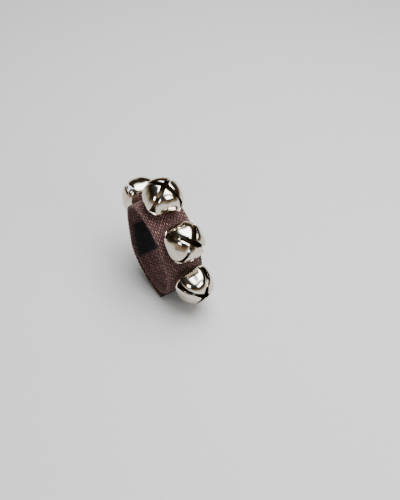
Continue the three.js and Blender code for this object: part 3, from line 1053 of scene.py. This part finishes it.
def build_pellet(n):
    """A headed steel ball: a faint flash ring round its middle and small knocks."""
    low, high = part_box(f"pellet_{n}")
    centre = (low + high) / 2
    chance = random.Random(PELLET_SEED + n)
    tilt = Matrix.Rotation(chance.uniform(0, TURN), 3, "X")
    tilt = tilt @ Matrix.Rotation(chance.uniform(0, TURN), 3, "Y")
    knocks = [Vector([chance.uniform(-1, 1) for _ in range(3)]).normalized() for _ in range(KNOCKS)]
    segments = PELLET_SEGMENTS
    vertices = []
    for ring in range(PELLET_RINGS + 1):
        polar = math.pi * (ring + POLE_GAP) / (PELLET_RINGS + 2 * POLE_GAP)
        sin, cos = math.sin(polar), math.cos(polar)
        for segment in range(segments):
            turn = TURN * segment / segments
            direction = Vector((sin * math.cos(turn), sin * math.sin(turn), cos))
            flash = FLASH_HEIGHT * math.exp(-((direction.z / FLASH_WIDTH) ** 2))
            knock = sum(KNOCK_DEPTH * math.exp(-((1 - direction.dot(k)) / KNOCK_SPREAD)) for k in knocks)
            radius = (PELLET_RADIUS - FLASH_HEIGHT + flash - knock) * MM
            vertices.append(centre + radius * (tilt @ direction))
    faces = [tuple(reversed(face)) for face in grid_faces(PELLET_RINGS + 1, segments, closed=True)]
    faces.append(tuple(range(segments)))
    faces.append(tuple(range((PELLET_RINGS + 1) * segments - 1, PELLET_RINGS * segments - 1, -1)))
    piece = new_object(f"pellet_ball_{n}", vertices, faces, [pellet_steel])
    finish_piece(piece, f"pellet_{n}", [f"pellet_{n}"])


for number in BELLS:
    build_shell(number)
    build_rivet(number)
    build_washer(number)
    build_pellet(number)


# ---- Studio ----

def build_floor():
    reach = 0.9
    lowest = cad_box[0][2]
    corners = [(-reach, -reach), (reach, -reach), (reach, reach), (-reach, reach)]
    vertices = [(x, y, lowest) for x, y in corners]
    floor = new_object("studio_floor", vertices, [(0, 1, 2, 3)], [floor_material()], smooth=False)


SOFTBOX_PANELS = 6
PANEL_SHRINK = 0.09  # each panel is this much smaller than the one behind it, as a share of the largest
PANEL_SPACING = 0.01  # and this much nearer, as a share of the softbox's distance


def softbox(name, position, width, height, power):
    """A soft light aimed at the object: nested panels, so that its brightness fades towards its edges."""
    shares = [1 - PANEL_SHRINK * index for index in range(SOFTBOX_PANELS)]
    glow = [2**index * share**2 for index, share in enumerate(shares)]
    for index, share in enumerate(shares):
        light = bpy.data.lights.new(f"{name}_{index}", "AREA")
        light.shape = "RECTANGLE"
        light.size = width * share
        light.size_y = height * share
        light.energy = power * glow[index] / sum(glow)
        lamp = bpy.data.objects.new(f"{name}_{index}", light)
        bpy.context.scene.collection.objects.link(lamp)
        lamp.location = Vector(position) * (1 - PANEL_SPACING * index)
        lamp.rotation_euler = (-Vector(position)).to_track_quat("-Z", "Y").to_euler()


def build_lights():
    """Three softboxes, the room that the bells reflect, and the paler backdrop that only the camera sees."""
    world = bpy.data.worlds.new("studio")
    world.use_nodes = True
    tree = world.node_tree
    background = tree.nodes["Background"]
    direction = tree.nodes.new("ShaderNodeTexCoord").outputs["Generated"]
    split = tree.nodes.new("ShaderNodeSeparateXYZ")
    tree.links.new(direction, split.inputs["Vector"])
    height = add_node(tree, "ShaderNodeMath", operation="ADD")
    tree.links.new(split.outputs["Z"], height.inputs[0])
    drift = map_range(tree, noise(tree, direction, scale=1.6), low=-0.3, high=0.3)
    tree.links.new(drift, height.inputs[1])
    room = ramp(tree, height.outputs["Value"], [
        (0.0, (0.42, 0.36, 0.28)),
        (0.1, (0.26, 0.17, 0.09)),
        (0.24, (0.07, 0.045, 0.025)),
        (0.5, (0.015, 0.013, 0.011)),
        (1.0, (0.10, 0.10, 0.10)),
    ])
    seen = tree.nodes.new("ShaderNodeLightPath").outputs["Is Camera Ray"]
    shown = tree.nodes.new("ShaderNodeMix")
    shown.data_type = "RGBA"
    shown.inputs["B"].default_value = (0.75, 0.75, 0.75, 1)
    tree.links.new(seen, shown.inputs["Factor"])
    tree.links.new(room, shown.inputs["A"])
    tree.links.new(shown.outputs["Result"], background.inputs["Color"])
    bpy.context.scene.world = world
    softbox("top", (0.2, -0.02, 0.68), width=1.4, height=0.85, power=19.0)
    softbox("front", (0.1, -0.7, 0.46), width=0.42, height=0.36, power=2.6)
    softbox("left", (-0.6, -0.38, 0.42), width=0.3, height=0.4, power=2.0)


CAMERA_AZIMUTH = math.radians(-35.3)
CAMERA_ELEVATION = math.radians(43.9)
CAMERA_DISTANCE = 417.0
CAMERA_SIDE = 20.96  # the camera stands this far right of the line through the part's origin
CAMERA_DOWN = 4.67  # and this far below it
LENS = 50.45


def build_camera():
    a, e = CAMERA_AZIMUTH, CAMERA_ELEVATION
    back = Vector((math.sin(a) * math.cos(e), -math.cos(a) * math.cos(e), math.sin(e)))
    right = Vector((math.cos(a), math.sin(a), 0))
    up = back.cross(right)
    camera_data = bpy.data.cameras.new("camera")
    camera_data.lens = LENS
    camera_data.clip_start = 0.01
    camera = bpy.data.objects.new("camera", camera_data)
    bpy.context.scene.collection.objects.link(camera)
    spot = (back * CAMERA_DISTANCE + right * CAMERA_SIDE - up * CAMERA_DOWN) * MM
    camera.matrix_world = Matrix.Translation(spot) @ Matrix((right, up, back)).transposed().to_4x4()
    bpy.context.scene.camera = camera


build_floor()
build_lights()
build_camera()
